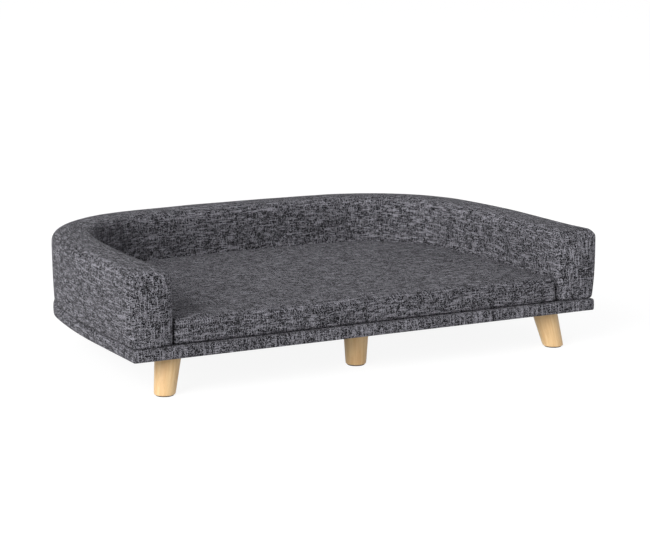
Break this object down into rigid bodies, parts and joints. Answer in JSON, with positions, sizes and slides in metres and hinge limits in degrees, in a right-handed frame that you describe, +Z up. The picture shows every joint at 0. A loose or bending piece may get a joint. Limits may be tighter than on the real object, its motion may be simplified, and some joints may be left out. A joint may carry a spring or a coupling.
{
  "type": "dog sofa bed",
  "caption": "Raised D-shaped pet sofa: fabric-covered base on turned wooden legs, padded rim round the sides and back, and a loose zipped cushion.",
  "frame": {"origin": "on the floor under the middle of the footprint", "axes": "+X to the right as seen from the front, +Y from the open front to the back, +Z up"},
  "size_m": [1, 0.675, 0.237],
  "materials": {
    "upholstery": "matte",
    "cushion_fabric": "matte",
    "foam": "matte",
    "wadding": "matte",
    "dust_cloth": "matte",
    "felt": "matte",
    "zip_cloth": "matte",
    "leg_wood": "satin",
    "plywood": "matte",
    "pine": "matte",
    "hardboard": "matte",
    "zinc_steel": "satin",
    "zip_metal": "satin",
    "zip_nylon": "satin"
  },
  "bodies": {
    "base": {"base_board": "plywood", "base_wadding": "wadding", "base_cover": "upholstery", "dust_cover": "dust_cloth", "cover_staples": "zinc_steel", "dust_cover_staples": "zinc_steel", "tee_nuts": "zinc_steel", "leg_studs": "zinc_steel", "leg_front_left": "leg_wood", "leg_front_middle": "leg_wood", "leg_front_right": "leg_wood", "leg_rear_left": "leg_wood", "leg_rear_middle": "leg_wood", "leg_rear_right": "leg_wood", "leg_glides": "felt", "rim_bottom_rail": "plywood", "rim_top_rail": "plywood", "rim_uprights": "pine", "rim_outer_facing": "hardboard", "rim_inner_facing": "hardboard", "rim_foam": "foam", "rim_cover": "upholstery", "rim_cover_staples": "zinc_steel", "rim_screws": "zinc_steel", "rail_screws": "zinc_steel"},
    "cushion": {"cushion_foam": "foam", "cushion_cover": "cushion_fabric", "zip_tape": "zip_cloth", "zip_coil": "zip_nylon", "zip_stops": "zip_metal"},
    "zip_slider": {"zip_slider": "zip_metal"}
  },
  "joints": [
    {"name": "cushion_lift", "type": "slide", "parent": "base", "child": "cushion", "axis": [0, 0, 1], "range_m": [0, 0.25]},
    {"name": "zip_slide", "type": "hinge", "parent": "cushion", "child": "zip_slider", "pos_m": [0, -2.2325, 0.1208], "axis": [0, 0, 1], "range_deg": [0, 8.45]}
  ]
}
